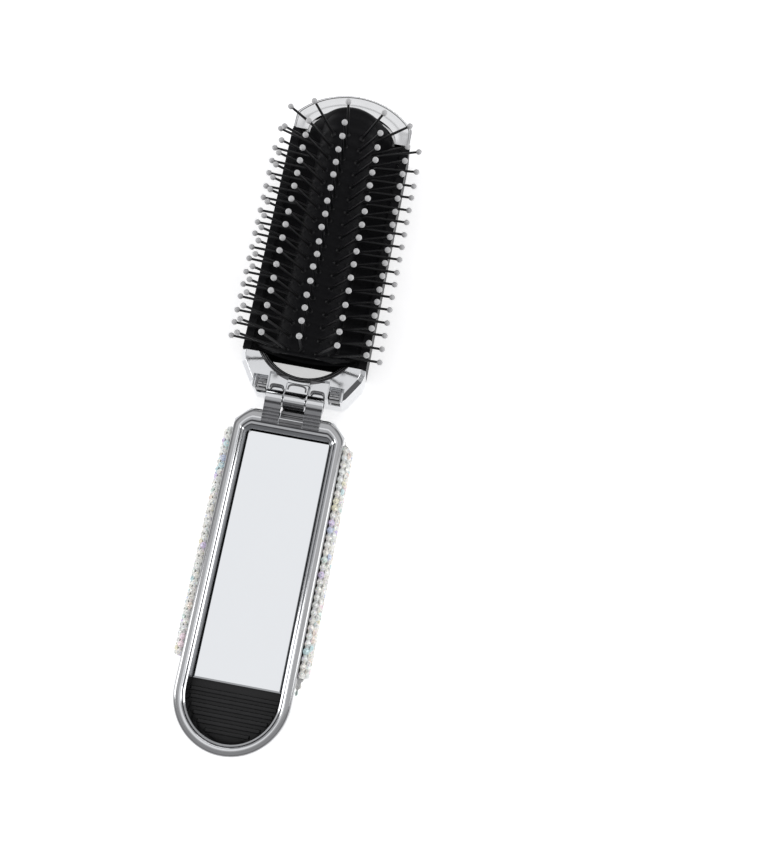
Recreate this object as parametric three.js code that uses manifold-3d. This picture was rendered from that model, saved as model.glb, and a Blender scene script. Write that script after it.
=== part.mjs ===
// Folding pocket hairbrush with a mirror in its handle, in millimetres, +Z up.
// It lies open on its back: handle towards -Y, brush head towards +Y, mirror and bristles up.
// Inside this file the hinge axis is at y = 0 and the two halves meet at z = 0.
import * as THREE from 'three';
import { mergeVertices } from 'three/addons/utils/BufferGeometryUtils.js';
import Module from 'manifold-3d';

const wasm = await Module();
wasm.setup();

// ---------- driving dimensions ----------
const HALF_WIDTH = 18.0; // half the width of the brush, over the stones and over the head
const BACK = -12.5; // back of both halves, which lie on the table
const HANDLE_END = -97.0; // round end of the handle
const HEAD_END = 98.5; // round end of the head
const GAP = 0.3; // clearance between neighbouring pieces
const AXIS_Z = 0.15; // hinge axis, half the clearance between the folded halves

// handle
const HANDLE_TOP = -3.6; // handle edge next to the hinge
const BEZEL_HALF = 15.75;
const BEZEL_CHAMFER = 3.8;
const BEZEL_THICK = 1.4;
const WELL_HALF = 12.5; // mirror well inside the bezel
const WELL_TOP = -7.8;
const WELL_END = -93.75;
const WELL_WALL = 1.0;
const WELL_WALL_FOOT = -4.3;
const SHELL_WALL = 1.5;
const SHELL_FLOOR = -10.8;
const SHELL_RIM = -1.5;
const LINER_TOP = -6.1;
const LINER_THICK = 1.4;
const MIRROR = { half: 12.05, top: -9.0, end: -78.8, face: -4.6, thick: 1.2 };
const GLUE = { margin: 1.5, top: -5.85, thick: 0.2 };
const RIB = { pitch: 2.0, width: 1.0, height: 0.7, first: -81.0, count: 6 };
const SHEET_THICK = 1.6; // backing and stones together
const SHEET_INNER = 16.1;
const SHEET_TAPER_START = -70.0;
const SHEET_END = -94.5;
const SHEET_CORNER = 5.5;
const SIDE_STONES = { top: -9.7, end: -74.0, rim: -1.8 };

// hinge
const KNUCKLE_R = 2.4;
const KNUCKLE_BORE = 1.1;
const PIN_R = 0.8;
const OUTER_KNUCKLE = { from: 3.45, to: 8.25 };
const CENTRE_KNUCKLE = 3.1;
const TAB = { end: -7.2, foot: 0.1, top: 1.0 };
const NECK = { end: 5.0, foot: -2.6, top: 0.9 };

// head
const SHOULDER_END = 12.9;
const SHOULDER_FRONT = 2.7;
const CAP_START = 84.7;
const PLATE_FOOT = -3.2; // underside of the chrome plates of the head
const HEAD_WALL = 1.5;
const RAIL_INNER = 15.6;
const RAIL_TOP = -0.5;
const CRESCENT = { chrome: 5.9, chromeHalf: 12.9, black: 7.6, blackHalf: 11.6, blackEnd: 12.6 };
const TONGUE = { half: 13.2, rise: 8.3 };
const END_ARC_SAG = 8.4; // how far the chrome end bulges past its corners
const POCKET = { inner: 8.9, outer: 12.3, end: 5.3, floor: -7.0 };
const RELIEF_DEPTH = 1.3;
const COVER = { half: 15.2, from: 14.0, to: 83.6, top: -11.9 };

// bristle pad: seven moulded rows, joined by living hinges
const ROWS = 7;
const ROW_PITCH = 4.2;
const ROW_WIDTH = 3.8;
const PAD_THICK = 1.0;
const ARCH_STEP = THREE.MathUtils.degToRad(28.5); // between neighbouring rows when open
const ARCH_AXIS_Z = 0.1;
const PIN_LENGTH = 12.8; // pad surface to the middle of the ball
const STEM_R = 0.38;
const BALL_R = 0.8;
const PIN_SIDES = 5;
const PIN_PITCH = 3.97;
const PIN_LEAN = THREE.MathUtils.degToRad(15); // the end pin of each row leans outwards
const LEAN_FADE = 0.2; // each pin after it leans this much of the one before
const ROW_ENDS = [ // by distance from the middle row: hinge end, far end, first pin, number of pins
  { from: 11.2, to: 87.6, first: 12.4, pins: 18 },
  { from: 11.4, to: 87.0, first: 12.4, pins: 18 },
  { from: 12.4, to: 85.4, first: 13.4, pins: 18 },
  { from: 13.6, to: 82.4, first: 15.4, pins: 17 },
];
const WEB = { inner: 9.3, top: -1.15, thick: 0.6, from: 13.6, to: 84.0 }; // soft skin beside the arch

// ---------- materials ----------
const look = (color, roughness, metalness) => new THREE.MeshStandardMaterial({ color, roughness, metalness });
const CHROME = look(0xc9cbce, 0.18, 1.0);
const BLACK_PLASTIC = look(0x131315, 0.5, 0.0);
const RUBBER = look(0x0e0e10, 0.6, 0.0);
const MIRROR_GLASS = look(0xe8edf2, 0.03, 1.0);
const ADHESIVE = look(0xd9d2b8, 0.8, 0.0);
const STONES = look(0xe6e4e0, 0.2, 0.1);
const STEEL = look(0x9a9c9f, 0.3, 1.0);

// ---------- shape helpers ----------
function solid(geometry) {
  const bare = geometry.index ? geometry.toNonIndexed() : geometry.clone();
  bare.deleteAttribute('normal');
  bare.deleteAttribute('uv');
  const merged = mergeVertices(bare, 1e-5);
  return new wasm.Manifold(new wasm.Mesh({
    numProp: 3,
    vertProperties: new Float32Array(merged.attributes.position.array),
    triVerts: new Uint32Array(merged.index.array),
  }));
}

function geometryOf(manifold) {
  const mesh = manifold.getMesh();
  const geometry = new THREE.BufferGeometry();
  const places = new Float32Array(mesh.vertProperties);
  geometry.setAttribute('position', new THREE.BufferAttribute(places, 3));
  geometry.setIndex(new THREE.BufferAttribute(new Uint32Array(mesh.triVerts), 1));
  geometry.computeVertexNormals();
  return geometry;
}

function prism(shape, zFrom, zTo) {
  const geometry = new THREE.ExtrudeGeometry(shape, { depth: zTo - zFrom, bevelEnabled: false, curveSegments: 16 });
  geometry.translate(0, 0, zFrom);
  return solid(geometry);
}

function block(xFrom, xTo, yFrom, yTo, zFrom, zTo) {
  const geometry = new THREE.BoxGeometry(xTo - xFrom, yTo - yFrom, zTo - zFrom);
  geometry.translate((xFrom + xTo) / 2, (yFrom + yTo) / 2, (zFrom + zTo) / 2);
  return solid(geometry);
}

function rod(xFrom, xTo, radius, sides) {
  const geometry = new THREE.CylinderGeometry(radius, radius, xTo - xFrom, sides);
  geometry.rotateZ(Math.PI / 2);
  geometry.translate((xFrom + xTo) / 2, 0, AXIS_Z);
  return solid(geometry);
}

function meshOf(name, body, material) {
  const mesh = new THREE.Mesh(geometryOf(body), material);
  mesh.name = name;
  return mesh;
}

// Outline with a chamfered hinge end and a round far end, for the handle's nested pieces.
function handleOutline(half, top, chamfer, end) {
  const shape = new THREE.Shape();
  shape.moveTo(-half + chamfer, top);
  shape.lineTo(-half, top - chamfer);
  shape.lineTo(-half, end + half);
  shape.absarc(0, end + half, half, Math.PI, 2 * Math.PI, false);
  shape.lineTo(half, top - chamfer);
  shape.lineTo(half - chamfer, top);
  return shape;
}

// Circle through the ends of a chord at y = chordY and the point (0, deepY).
function arcThrough(chordHalf, chordY, deepY) {
  const sag = Math.abs(deepY - chordY);
  const radius = (chordHalf * chordHalf + sag * sag) / (2 * sag);
  const centreY = deepY + (deepY < chordY ? radius : -radius);
  return { radius, centreY, reach: Math.asin(chordHalf / radius) };
}

// ---------- handle ----------
function handleShell() {
  const outer = prism(handleOutline(BEZEL_HALF, HANDLE_TOP, BEZEL_CHAMFER, HANDLE_END), SHELL_FLOOR, SHELL_RIM);
  const inside = handleOutline(
    BEZEL_HALF - SHELL_WALL, HANDLE_TOP - SHELL_WALL, BEZEL_CHAMFER, HANDLE_END + SHELL_WALL,
  );
  return outer.subtract(prism(inside, SHELL_FLOOR + SHELL_WALL, 0));
}

function mirrorBezel() {
  const plate = prism(handleOutline(BEZEL_HALF, HANDLE_TOP, BEZEL_CHAMFER, HANDLE_END), -BEZEL_THICK, 0);
  const sleeve = prism(
    handleOutline(WELL_HALF + WELL_WALL, WELL_TOP + WELL_WALL, 2.4, WELL_END - WELL_WALL),
    WELL_WALL_FOOT, -BEZEL_THICK / 2,
  );
  const well = prism(handleOutline(WELL_HALF, WELL_TOP, 1.0, WELL_END), WELL_WALL_FOOT - 1, 1);
  const neckNotch = block(
    -CENTRE_KNUCKLE - GAP, CENTRE_KNUCKLE + GAP, -NECK.end - GAP, 0, -BEZEL_THICK - 1, 1,
  );
  return plate.add(sleeve).subtract(well).subtract(neckNotch);
}

function handleLiner() {
  const edge = SHELL_WALL + GAP;
  const outline = handleOutline(BEZEL_HALF - edge, HANDLE_TOP - edge, BEZEL_CHAMFER, HANDLE_END + edge);
  const foot = SHELL_FLOOR + SHELL_WALL + 0.1;
  const hollow = handleOutline(
    BEZEL_HALF - edge - 1.2, HANDLE_TOP - edge - 1.2, BEZEL_CHAMFER, HANDLE_END + edge + 1.2,
  );
  let liner = prism(outline, foot, LINER_TOP).subtract(prism(hollow, foot - 1, LINER_TOP - LINER_THICK));
  for (let i = 0; i < RIB.count; i += 1) {
    const y = RIB.first - i * RIB.pitch;
    const past = Math.max(0, -(y - RIB.width) - (-WELL_END - WELL_HALF));
    const half = Math.sqrt(WELL_HALF * WELL_HALF - past * past) - 0.4;
    liner = liner.add(block(-half, half, y - RIB.width, y, LINER_TOP - 0.5, LINER_TOP + RIB.height));
  }
  return liner;
}

function mirrorGlass() {
  return block(-MIRROR.half, MIRROR.half, MIRROR.end, MIRROR.top, MIRROR.face - MIRROR.thick, MIRROR.face);
}

function mirrorAdhesive() {
  const half = MIRROR.half - GLUE.margin;
  return block(
    -half, half, MIRROR.end + GLUE.margin, MIRROR.top - GLUE.margin, GLUE.top - GLUE.thick, GLUE.top,
  );
}

function stoneSheet() {
  const corner = SHEET_CORNER;
  const top = HANDLE_TOP - 0.4;
  const back = new THREE.Shape();
  back.moveTo(-HALF_WIDTH + corner, top);
  back.absarc(-HALF_WIDTH + corner, top - corner, corner, Math.PI / 2, Math.PI, false);
  back.lineTo(-HALF_WIDTH, SHEET_TAPER_START);
  back.absellipse(
    0, SHEET_TAPER_START, HALF_WIDTH, SHEET_TAPER_START - SHEET_END, Math.PI, 2 * Math.PI, false,
  );
  back.absarc(HALF_WIDTH - corner, top - corner, corner, 0, Math.PI / 2, false);
  let sheet = prism(back, BACK, BACK + SHEET_THICK);
  for (const side of [-1, 1]) {
    const xs = [side * SHEET_INNER, side * HALF_WIDTH].sort((a, b) => a - b);
    const wall = block(xs[0], xs[1], SIDE_STONES.end, SIDE_STONES.top, BACK + 0.5, SIDE_STONES.rim);
    sheet = sheet.add(wall);
  }
  const rounded = new THREE.Shape();
  rounded.absellipse(
    0, SHEET_TAPER_START, HALF_WIDTH, SHEET_TAPER_START - SHEET_END, Math.PI, 2 * Math.PI, false,
  );
  rounded.lineTo(HALF_WIDTH, 0);
  rounded.lineTo(-HALF_WIDTH, 0);
  return sheet.intersect(prism(rounded, BACK - 1, 1));
}

// ---------- hinge ----------
function outerKnuckle(side) {
  const [from, to] = [side * OUTER_KNUCKLE.from, side * OUTER_KNUCKLE.to].sort((a, b) => a - b);
  const barrel = rod(from, to, KNUCKLE_R, 28);
  const tab = block(from, to, TAB.end, -1.2, TAB.foot, TAB.top);
  return barrel.add(tab).subtract(rod(from - 1, to + 1, KNUCKLE_BORE, 20));
}

function centreKnuckle() {
  const barrel = rod(-CENTRE_KNUCKLE, CENTRE_KNUCKLE, KNUCKLE_R, 28);
  const neck = block(-CENTRE_KNUCKLE, CENTRE_KNUCKLE, 1.3, NECK.end, NECK.foot, NECK.top);
  return barrel.add(neck).subtract(rod(-CENTRE_KNUCKLE - 1, CENTRE_KNUCKLE + 1, KNUCKLE_BORE, 20));
}

// ---------- head ----------
// Corners of the shoulder from the hinge side to the pad side, drawn in by an inset.
function shoulderCorners(inset) {
  return [
    [12.8 - 0.5 * inset, SHOULDER_FRONT + inset],
    [13.9 - 0.8 * inset, 3.6 + 0.7 * inset],
    [17.4 - 0.9 * inset, 9.2 + 0.4 * inset],
    [HALF_WIDTH - inset, 11.4],
  ];
}

function shoulderOutline(inset, end, cut) {
  const shape = new THREE.Shape();
  const corners = shoulderCorners(inset);
  shape.moveTo(-corners[0][0], corners[0][1]);
  corners.forEach(([x, y]) => shape.lineTo(x, y));
  shape.lineTo(HALF_WIDTH - inset, end);
  if (cut) {
    const arc = arcThrough(CRESCENT.chromeHalf, end, CRESCENT.chrome);
    shape.absarc(0, arc.centreY, arc.radius, -Math.PI / 2 + arc.reach, -Math.PI / 2 - arc.reach, true);
  }
  shape.lineTo(-HALF_WIDTH + inset, end);
  corners.reverse().forEach(([x, y]) => shape.lineTo(-x, y));
  return shape;
}

function headShoulder() {
  const plate = prism(shoulderOutline(0, SHOULDER_END, true), PLATE_FOOT, 0);
  const wall = prism(shoulderOutline(0, SHOULDER_END, false), BACK, PLATE_FOOT + 0.5);
  const room = prism(shoulderOutline(HEAD_WALL, SHOULDER_END + 1, false), BACK - 1, PLATE_FOOT + 1);
  let shoulder = plate.add(wall.subtract(room));
  const neckRoom = block(
    -CENTRE_KNUCKLE - GAP, CENTRE_KNUCKLE + GAP, 0, NECK.end + GAP, NECK.foot - GAP, 1,
  );
  shoulder = shoulder.subtract(neckRoom);
  for (const side of [-1, 1]) {
    const tabXs = [side * (OUTER_KNUCKLE.from - GAP), side * (OUTER_KNUCKLE.to + GAP)].sort((a, b) => a - b);
    shoulder = shoulder.subtract(block(tabXs[0], tabXs[1], 0, -TAB.end + GAP + 0.1, -RELIEF_DEPTH, 1));
    const pocketXs = [side * POCKET.inner, side * POCKET.outer].sort((a, b) => a - b);
    shoulder = shoulder.subtract(block(pocketXs[0], pocketXs[1], 0, POCKET.end, POCKET.floor, 1));
  }
  return shoulder;
}

// Far end of the head: straight sides and a shallow arc, drawn in by an inset.
function capOutline(start, inset) {
  const corner = HEAD_END - END_ARC_SAG;
  const half = HALF_WIDTH - inset;
  const arc = arcThrough(half, corner - inset * 0.5, HEAD_END - inset);
  const shape = new THREE.Shape();
  shape.moveTo(-half, start);
  shape.lineTo(half, start);
  shape.absarc(0, arc.centreY, arc.radius, Math.PI / 2 - arc.reach, Math.PI / 2 + arc.reach, false);
  return shape;
}

function tongueOutline(half, rise, from) {
  const shape = new THREE.Shape();
  shape.moveTo(-half, from);
  shape.lineTo(half, from);
  shape.absellipse(0, CAP_START, half, rise, 0, Math.PI, false);
  return shape;
}

function headEndCap() {
  const plate = prism(capOutline(CAP_START, 0), PLATE_FOOT, 0)
    .subtract(prism(tongueOutline(TONGUE.half, TONGUE.rise, CAP_START - 5), PLATE_FOOT - 1, 1));
  const wall = prism(capOutline(CAP_START, 0), BACK, PLATE_FOOT + 0.5)
    .subtract(prism(capOutline(CAP_START - 1, HEAD_WALL), BACK - 1, PLATE_FOOT + 1));
  return plate.add(wall);
}

// Window through the head: the pad sinks into it, and it shows at both ends of the pad.
function headWindow() {
  const arc = arcThrough(CRESCENT.blackHalf, CRESCENT.blackEnd, CRESCENT.black);
  const nearEnd = new THREE.Shape();
  nearEnd.moveTo(CRESCENT.blackHalf, CRESCENT.blackEnd + 3);
  nearEnd.lineTo(-CRESCENT.blackHalf, CRESCENT.blackEnd + 3);
  nearEnd.absarc(0, arc.centreY, arc.radius, -Math.PI / 2 - arc.reach, -Math.PI / 2 + arc.reach, false);
  const middle = block(-RAIL_INNER, RAIL_INNER, CRESCENT.blackEnd, CAP_START - GAP, BACK - 1, 1);
  const farEnd = prism(tongueOutline(TONGUE.half + 0.4, TONGUE.rise + 0.4, CAP_START - 3), BACK - 1, 1);
  return prism(nearEnd, BACK - 1, 1).add(middle).add(farEnd);
}

function headBody() {
  const inset = HEAD_WALL + GAP;
  const top = PLATE_FOOT - GAP;
  const near = prism(shoulderOutline(inset, SHOULDER_END + 3, false), BACK, top);
  const far = prism(capOutline(CAP_START - 3, inset), BACK, top);
  let body = near.add(far);
  for (const side of [-1, 1]) {
    const xs = [side * RAIL_INNER, side * HALF_WIDTH].sort((a, b) => a - b);
    body = body.add(block(xs[0], xs[1], SHOULDER_END + GAP, CAP_START - GAP, BACK, RAIL_TOP));
    const pocketXs = [side * (POCKET.inner - GAP), side * (POCKET.outer + GAP)].sort((a, b) => a - b);
    body = body.subtract(block(pocketXs[0], pocketXs[1], 0, POCKET.end + GAP, POCKET.floor - GAP, 1));
  }
  return body.subtract(headWindow());
}

function headBackCover() {
  return block(-COVER.half, COVER.half, COVER.from, COVER.to, BACK + 0.05, COVER.top);
}

// ---------- bristle pad ----------
// One pin with its ball, standing on the pad at the origin, sunk a little into it.
function pin(lean) {
  const sink = PAD_THICK / 2;
  const profile = [
    [0, -sink],
    [STEM_R, -sink],
    [STEM_R, PIN_LENGTH - BALL_R * 0.8],
    [BALL_R, PIN_LENGTH],
    [0, PIN_LENGTH + BALL_R],
  ].map(([r, z]) => new THREE.Vector2(r, z));
  const geometry = new THREE.LatheGeometry(profile, PIN_SIDES);
  geometry.rotateX(Math.PI / 2);
  geometry.rotateX(-lean);
  return geometry;
}

// A row in its own frame: the strip lies on z = 0 and its pins point to +Z.
function bristleRow(distance) {
  const { from, to, first, pins } = ROW_ENDS[distance];
  const half = PAD_THICK / 2;
  let row = block(-ROW_WIDTH / 2, ROW_WIDTH / 2, from, to, -half, half);
  const solids = [];
  for (let i = 0; i < pins; i += 1) {
    const fromEnd = pins - 1 - i;
    const geometry = pin(PIN_LEAN * LEAN_FADE ** fromEnd);
    geometry.translate(0, first + i * PIN_PITCH, half);
    solids.push(solid(geometry));
  }
  solids.forEach((one) => {
    row = row.add(one);
  });
  return row;
}

// Rows sit on the flats of an arch whose axis is at z = ARCH_AXIS_Z.
function bristlePad() {
  const pad = new THREE.Group();
  const inradius = ROW_PITCH / 2 / Math.tan(ARCH_STEP / 2);
  const middle = (ROWS - 1) / 2;
  for (let i = 0; i < ROWS; i += 1) {
    const turn = (i - middle) * ARCH_STEP;
    const row = meshOf(`bristle_row_${i + 1}`, bristleRow(Math.abs(i - middle)), RUBBER);
    row.position.set(inradius * Math.sin(turn), 0, ARCH_AXIS_Z + inradius * Math.cos(turn));
    row.rotation.y = turn;
    pad.add(row);
  }
  return pad;
}

// Soft skin of the pad between the foot of the arch and a rail.
function padWeb(side) {
  const xs = [side * WEB.inner, side * (RAIL_INNER - GAP)].sort((a, b) => a - b);
  return block(xs[0], xs[1], WEB.from, WEB.to, WEB.top - WEB.thick, WEB.top);
}

// ---------- assembly ----------
const group = new THREE.Group();
group.add(meshOf('handle_shell', handleShell(), CHROME));
group.add(meshOf('mirror_bezel', mirrorBezel(), CHROME));
group.add(meshOf('handle_liner', handleLiner(), BLACK_PLASTIC));
group.add(meshOf('mirror_glass', mirrorGlass(), MIRROR_GLASS));
group.add(meshOf('mirror_adhesive', mirrorAdhesive(), ADHESIVE));
group.add(meshOf('stone_sheet', stoneSheet(), STONES));
group.add(meshOf('hinge_knuckle_left', outerKnuckle(-1), CHROME));
group.add(meshOf('hinge_knuckle_right', outerKnuckle(1), CHROME));
group.add(meshOf('hinge_pin', rod(-OUTER_KNUCKLE.to, OUTER_KNUCKLE.to, PIN_R, 20), STEEL));
group.add(meshOf('head_knuckle', centreKnuckle(), CHROME));
group.add(meshOf('head_shoulder', headShoulder(), CHROME));
group.add(meshOf('head_end_cap', headEndCap(), CHROME));
group.add(meshOf('head_body', headBody(), BLACK_PLASTIC));
group.add(meshOf('head_back_cover', headBackCover(), BLACK_PLASTIC));
group.add(meshOf('pad_web_left', padWeb(-1), RUBBER));
group.add(meshOf('pad_web_right', padWeb(1), RUBBER));
group.add(bristlePad());

// The part's origin is the middle of its footprint, on the table.
group.position.set(0, -(HANDLE_END + HEAD_END) / 2, -BACK);

export default group;
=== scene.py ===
# Looks for the folding pocket hairbrush: plated frame, stone-covered handle, mirror and bristle pad.
# Everything is in metres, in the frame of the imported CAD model.
import math
import random

import bmesh
import bpy
from mathutils import Matrix, Vector


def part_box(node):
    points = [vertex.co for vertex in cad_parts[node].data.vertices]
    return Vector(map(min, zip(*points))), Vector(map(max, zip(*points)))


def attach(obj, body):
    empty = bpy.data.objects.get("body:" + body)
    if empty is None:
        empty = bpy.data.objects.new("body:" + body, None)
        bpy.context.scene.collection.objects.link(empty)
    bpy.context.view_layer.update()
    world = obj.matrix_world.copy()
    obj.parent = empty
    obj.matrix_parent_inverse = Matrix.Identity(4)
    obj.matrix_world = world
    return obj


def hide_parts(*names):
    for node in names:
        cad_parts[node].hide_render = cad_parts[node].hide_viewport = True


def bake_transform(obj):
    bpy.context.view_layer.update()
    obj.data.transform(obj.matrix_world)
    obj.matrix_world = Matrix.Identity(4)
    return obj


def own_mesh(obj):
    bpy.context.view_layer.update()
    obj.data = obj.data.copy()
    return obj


MM = 0.001
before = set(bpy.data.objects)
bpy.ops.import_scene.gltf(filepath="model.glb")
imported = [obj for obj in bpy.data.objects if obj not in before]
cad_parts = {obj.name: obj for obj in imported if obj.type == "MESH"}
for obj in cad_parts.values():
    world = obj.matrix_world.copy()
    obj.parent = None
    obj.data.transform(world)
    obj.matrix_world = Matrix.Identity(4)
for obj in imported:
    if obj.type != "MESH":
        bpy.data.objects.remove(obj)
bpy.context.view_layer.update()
random.seed(21)


# ---------- places taken from the frame ----------
def middle(node):
    low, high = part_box(node)
    return (low + high) / 2


HINGE = middle("hinge_pin")
BEZEL_LOW, BEZEL_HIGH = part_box("mirror_bezel")
GLASS_LOW, GLASS_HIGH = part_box("mirror_glass")
SHEET_LOW, SHEET_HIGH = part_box("stone_sheet")
CAP_LOW, CAP_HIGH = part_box("head_end_cap")
SHOULDER_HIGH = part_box("head_shoulder")[1]
BODY_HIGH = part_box("head_body")[1]
ROWS = 7
MIDDLE_ROW = 4
# Where the blocks that cut the plated pieces end: their top, and the far end of the bezel's slot.
CUT_TOP, CUT_END = 0.03, 0.01


def add_object(name, data):
    made = bpy.data.objects.new(name, data)
    bpy.context.scene.collection.objects.link(made)
    return made


def add_mesh(name, vertices, faces, material):
    mesh = bpy.data.meshes.new(name)
    mesh.from_pydata([tuple(v) for v in vertices], [], faces)
    mesh.materials.append(material)
    return add_object(name, mesh)


def set_inputs(node, values):
    for name, value in values.items():
        node.inputs[name].default_value = value
    return node


def add_node(nodes, kind, inputs=None):
    return set_inputs(nodes.new("ShaderNode" + kind), inputs or {})


# ---------- camera, floor and light ----------
CAMERA_TILT = math.radians(-14.0)
CAMERA_SWING = math.radians(-1.9)
CAMERA_ROLL = math.radians(-10.3)
CAMERA_FROM_HINGE = Vector((24.6, -6.0, 290.8)) * MM
CAMERA_LENS = 43.9
# Light that the white floor gives off by itself.
FLOOR_GLOW = 0.55
FLOOR_REACH = 4.0
# Colour of the studio straight down and straight up, and its grey by height in between:
# 0 is straight down, 0.5 is the horizon and 1 is straight up.
STUDIO_BELOW = (0.25, 0.25, 0.26, 1)
STUDIO_ABOVE = (0.45, 0.45, 0.46, 1)
SKY_STOPS = (
    (0.50, 0.85), (0.56, 0.25), (0.61, 0.08), (0.68, 0.22), (0.76, 0.50), (0.84, 0.32), (0.91, 0.50),
)
# Place of the panel that the mirror and the flat plated faces reflect towards the camera.
MIRROR_PANEL = (0.02, 0.25, 1.05)


def make_camera():
    data = bpy.data.cameras.new("camera")
    data.sensor_width = 36.0
    data.lens = CAMERA_LENS
    data.clip_start = 0.01
    camera = add_object("camera", data)
    to_camera = (
        Matrix.Rotation(CAMERA_ROLL, 3, "Z")
        @ Matrix.Rotation(CAMERA_SWING, 3, "Y")
        @ Matrix.Rotation(CAMERA_TILT, 3, "X")
    )
    turn = to_camera.transposed()
    camera.matrix_world = Matrix.Translation(HINGE + turn @ CAMERA_FROM_HINGE) @ turn.to_4x4()
    bpy.context.scene.camera = camera


def area_light(name, place, size, power, aim):
    data = bpy.data.lights.new(name, "AREA")
    data.shape = "RECTANGLE"
    data.size, data.size_y = size
    data.energy = power
    lamp = add_object(name, data)
    lamp.location = place
    lamp.rotation_euler = (Vector(aim) - Vector(place)).to_track_quat("-Z", "Y").to_euler()


def make_world():
    """Studio in level bands: bright at the horizon, dark just above it, mid grey overhead."""
    world = bpy.data.worlds.new("studio")
    bpy.context.scene.world = world
    world.use_nodes = True
    nodes, links = world.node_tree.nodes, world.node_tree.links
    nodes.clear()
    place = add_node(nodes, "TexCoord")
    split = add_node(nodes, "SeparateXYZ")
    ramp = add_node(nodes, "ValToRGB")
    background = add_node(nodes, "Background", {"Strength": 1.0})
    out = add_node(nodes, "OutputWorld")
    stops = ramp.color_ramp.elements
    stops[0].position, stops[0].color = 0.0, STUDIO_BELOW
    stops[1].position, stops[1].color = 1.0, STUDIO_ABOVE
    for position, grey in SKY_STOPS:
        stop = stops.new(position)
        stop.color = (grey, grey, grey * 1.02, 1)
    spread = add_node(nodes, "MapRange", {"From Min": -1.0})
    links.new(place.outputs["Generated"], split.inputs[0])
    links.new(split.outputs["Z"], spread.inputs["Value"])
    links.new(spread.outputs[0], ramp.inputs[0])
    links.new(ramp.outputs[0], background.inputs["Color"])
    links.new(background.outputs[0], out.inputs[0])


def make_stage():
    """White floor that glows a little, the studio around it and four panels of light."""
    reach = FLOOR_REACH
    corners = [(-reach, -reach, 0), (reach, -reach, 0), (reach, reach, 0), (-reach, reach, 0)]
    paint = surface("floor_paint", (0.90, 0.90, 0.905), 0.75, grain=60, bump=0.02)
    shader = paint.node_tree.nodes["Principled BSDF"]
    set_inputs(shader, {"Emission Color": (1, 1, 1, 1), "Emission Strength": FLOOR_GLOW})
    floor = add_mesh("floor", corners, [(0, 1, 2, 3)], paint)
    make_world()
    area_light("overhead", MIRROR_PANEL, (0.80, 1.10), 1.1, (0, 0.25, 0))
    area_light("left", (-0.95, -0.15, 0.62), (0.30, 0.9), 2.4, (0, 0, 0))
    area_light("right", (0.98, 0.05, 0.60), (0.30, 0.9), 2.2, (0, 0, 0))
    area_light("back", (0.1, 1.05, 0.50), (0.9, 0.22), 1.3, (0, 0, 0))
    bpy.context.scene.view_settings.view_transform = "Standard"


# ---------- materials ----------
# Lowest and highest roughness in the grain, as shares of the roughness, and the depth of its relief.
ROUGHNESS_SPREAD = (0.85, 1.2)
GRAIN_DEPTH = 0.05 * MM
# Painted light: the stones glow in each facet's tint to look brighter, in place of light that the foil
# behind them sends back.
STONE_PAINTED_GLOW = 0.16
RIB_STRENGTH, RIB_DEPTH = 0.5, 0.25 * MM


def surface(name, color, roughness, metallic=0.0, grain=400, bump=0.1, spread=0.05, coat=0.0, ior=1.5):
    """Principled material with a fine grain in its colour, roughness and relief."""
    made = bpy.data.materials.new(name)
    made.use_nodes = True
    nodes, links = made.node_tree.nodes, made.node_tree.links
    shader = nodes["Principled BSDF"]
    set_inputs(shader, {"Metallic": metallic, "Coat Weight": coat, "IOR": ior})
    place = add_node(nodes, "TexCoord")
    noise = add_node(nodes, "TexNoise", {"Scale": grain, "Detail": 4})
    links.new(place.outputs["Object"], noise.inputs["Vector"])
    tones = add_node(nodes, "ValToRGB")
    low, high = tones.color_ramp.elements
    low.position, high.position = 0.3, 0.7
    low.color = [max(0.0, c * (1 - spread)) for c in color] + [1]
    high.color = [min(1.0, c * (1 + spread)) for c in color] + [1]
    links.new(noise.outputs["Fac"], tones.inputs[0])
    links.new(tones.outputs[0], shader.inputs["Base Color"])
    smoothest, roughest = (roughness * share for share in ROUGHNESS_SPREAD)
    rough = add_node(nodes, "MapRange", {"To Min": smoothest, "To Max": roughest})
    links.new(noise.outputs["Fac"], rough.inputs["Value"])
    links.new(rough.outputs[0], shader.inputs["Roughness"])
    relief = add_node(nodes, "Bump", {"Strength": bump, "Distance": GRAIN_DEPTH})
    links.new(noise.outputs["Fac"], relief.inputs["Height"])
    links.new(relief.outputs[0], shader.inputs["Normal"])
    return made


def plated(name, color, roughness, grain=250, bump=0.02, spread=0.02):
    return surface(name, color, roughness, metallic=1.0, grain=grain, bump=bump, spread=spread)


def hard_black(name, color, roughness, ior):
    return surface(name, color, roughness, grain=500, bump=0.12, spread=0.15, ior=ior)


def stone_material():
    """Clear stones with an iridescent back: each facet carries its own tint in a colour attribute, times a
    random painted sparkle, and the stones glow in it: painted light.
    """
    made = surface("crystal", (0.9, 0.9, 0.9), 0.14, metallic=0.1, grain=900, bump=0.03, coat=0.5, ior=1.6)
    nodes, links = made.node_tree.nodes, made.node_tree.links
    shader = nodes["Principled BSDF"]
    # The tint attribute holds each facet's colour times its painted sparkle; as emission colour it makes
    # the stones glow: painted light.
    tint = add_node(nodes, "Attribute")
    tint.attribute_name = "tint"
    links.new(tint.outputs["Color"], shader.inputs["Base Color"])
    links.new(tint.outputs["Color"], shader.inputs["Emission Color"])
    set_inputs(shader, {"Emission Strength": STONE_PAINTED_GLOW})
    return made


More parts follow.
